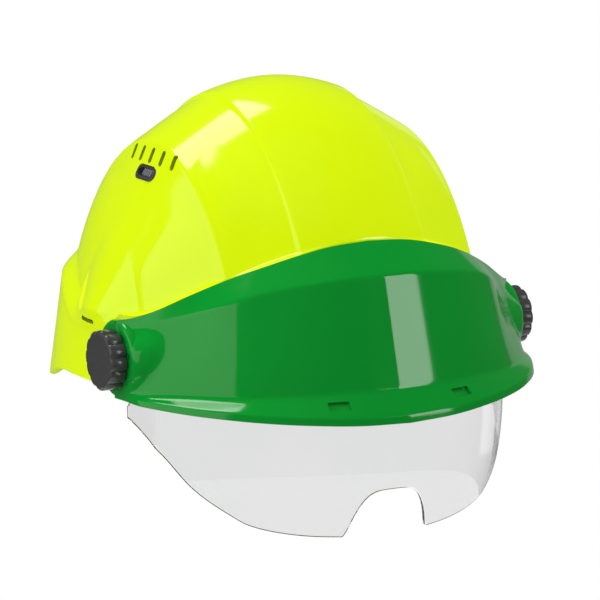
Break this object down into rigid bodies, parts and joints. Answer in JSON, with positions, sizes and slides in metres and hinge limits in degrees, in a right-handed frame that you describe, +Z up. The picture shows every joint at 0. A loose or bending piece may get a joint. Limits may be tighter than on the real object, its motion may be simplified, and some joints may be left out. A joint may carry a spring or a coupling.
{
  "type": "hard hat",
  "caption": "Stepped dome hard hat with a brow guard, a clear lens that slides up behind it, and a ratchet head cradle.",
  "frame": {"origin": "middle of the head opening, on the plane of symmetry, near the height of the shell's lower rim", "axes": "+Z up, -Y the way the wearer looks, +X the wearer's left"},
  "size_m": [0.252, 0.265, 0.2129],
  "materials": {
    "shell_yellow": "gloss",
    "guard_green": "gloss",
    "lens_clear": "clear",
    "black_nylon": "moulded",
    "grey_nylon": "moulded",
    "rubber": "matt",
    "zinc_steel": "zinc plated",
    "cradle_plastic": "moulded",
    "foam": "knitted cover over foam",
    "web": "woven"
  },
  "bodies": {
    "helmet": {"shell": "shell_yellow", "brow_guard": "guard_green", "clamp_stud_left": "zinc_steel", "clamp_stud_right": "zinc_steel", "friction_washer_left": "rubber", "friction_washer_right": "rubber", "vent_bezel_left": "black_nylon", "vent_bezel_right": "black_nylon", "headband": "cradle_plastic", "sweatband": "foam", "ratchet_housing": "black_nylon", "nape_pad": "foam", "crown_strap_a": "web", "crown_strap_b": "web", "strap_key_front_left": "cradle_plastic", "strap_key_front_right": "cradle_plastic", "strap_key_rear_left": "cradle_plastic", "strap_key_rear_right": "cradle_plastic"},
    "lens_body": {"lens": "lens_clear"},
    "knob_left": {"clamp_knob_left": "black_nylon"},
    "knob_right": {"clamp_knob_right": "black_nylon"},
    "shutter_left": {"vent_slider_left": "grey_nylon"},
    "shutter_right": {"vent_slider_right": "grey_nylon"},
    "ratchet": {"ratchet_knob": "black_nylon", "ratchet_pinion": "zinc_steel"},
    "nape_left": {"nape_band_left": "cradle_plastic"},
    "nape_right": {"nape_band_right": "cradle_plastic"}
  },
  "joints": [
    {"name": "lens_raise", "type": "hinge", "parent": "helmet", "child": "lens_body", "pos_m": [0, 0.025, -0.002], "axis": [-1, 0, 0], "range_deg": [0, 11]},
    {"name": "clamp_turn_left", "type": "hinge", "parent": "helmet", "child": "knob_left", "pos_m": [0.1174, -0.04, 0.031], "axis": [1, 0, 0], "range_deg": [0, 180]},
    {"name": "clamp_turn_right", "type": "hinge", "parent": "helmet", "child": "knob_right", "pos_m": [-0.1174, -0.04, 0.031], "axis": [-1, 0, 0], "range_deg": [0, 180]},
    {"name": "vent_close_left", "type": "slide", "parent": "helmet", "child": "shutter_left", "axis": [0, 1, 0], "range_m": [0, 0.005]},
    {"name": "vent_close_right", "type": "slide", "parent": "helmet", "child": "shutter_right", "axis": [0, 1, 0], "range_m": [0, 0.005]},
    {"name": "ratchet_turn", "type": "hinge", "parent": "helmet", "child": "ratchet", "pos_m": [0, 0.1004, 0.0192], "axis": [0, 1, 0], "range_deg": [-180, 180]},
    {"name": "nape_slide_left", "type": "hinge", "parent": "helmet", "child": "nape_left", "pos_m": [0, 0.02, 0.0192], "axis": [0, 0, 1], "range_deg": [-5, 5]},
    {"name": "nape_slide_right", "type": "hinge", "parent": "helmet", "child": "nape_right", "pos_m": [0, 0.02, 0.0192], "axis": [0, 0, 1], "range_deg": [-5, 5]}
  ],
  "couplings": [
    {"joint": "nape_slide_left", "follows": "ratchet_turn", "ratio": -0.0272},
    {"joint": "nape_slide_right", "follows": "ratchet_turn", "ratio": 0.0272}
  ]
}
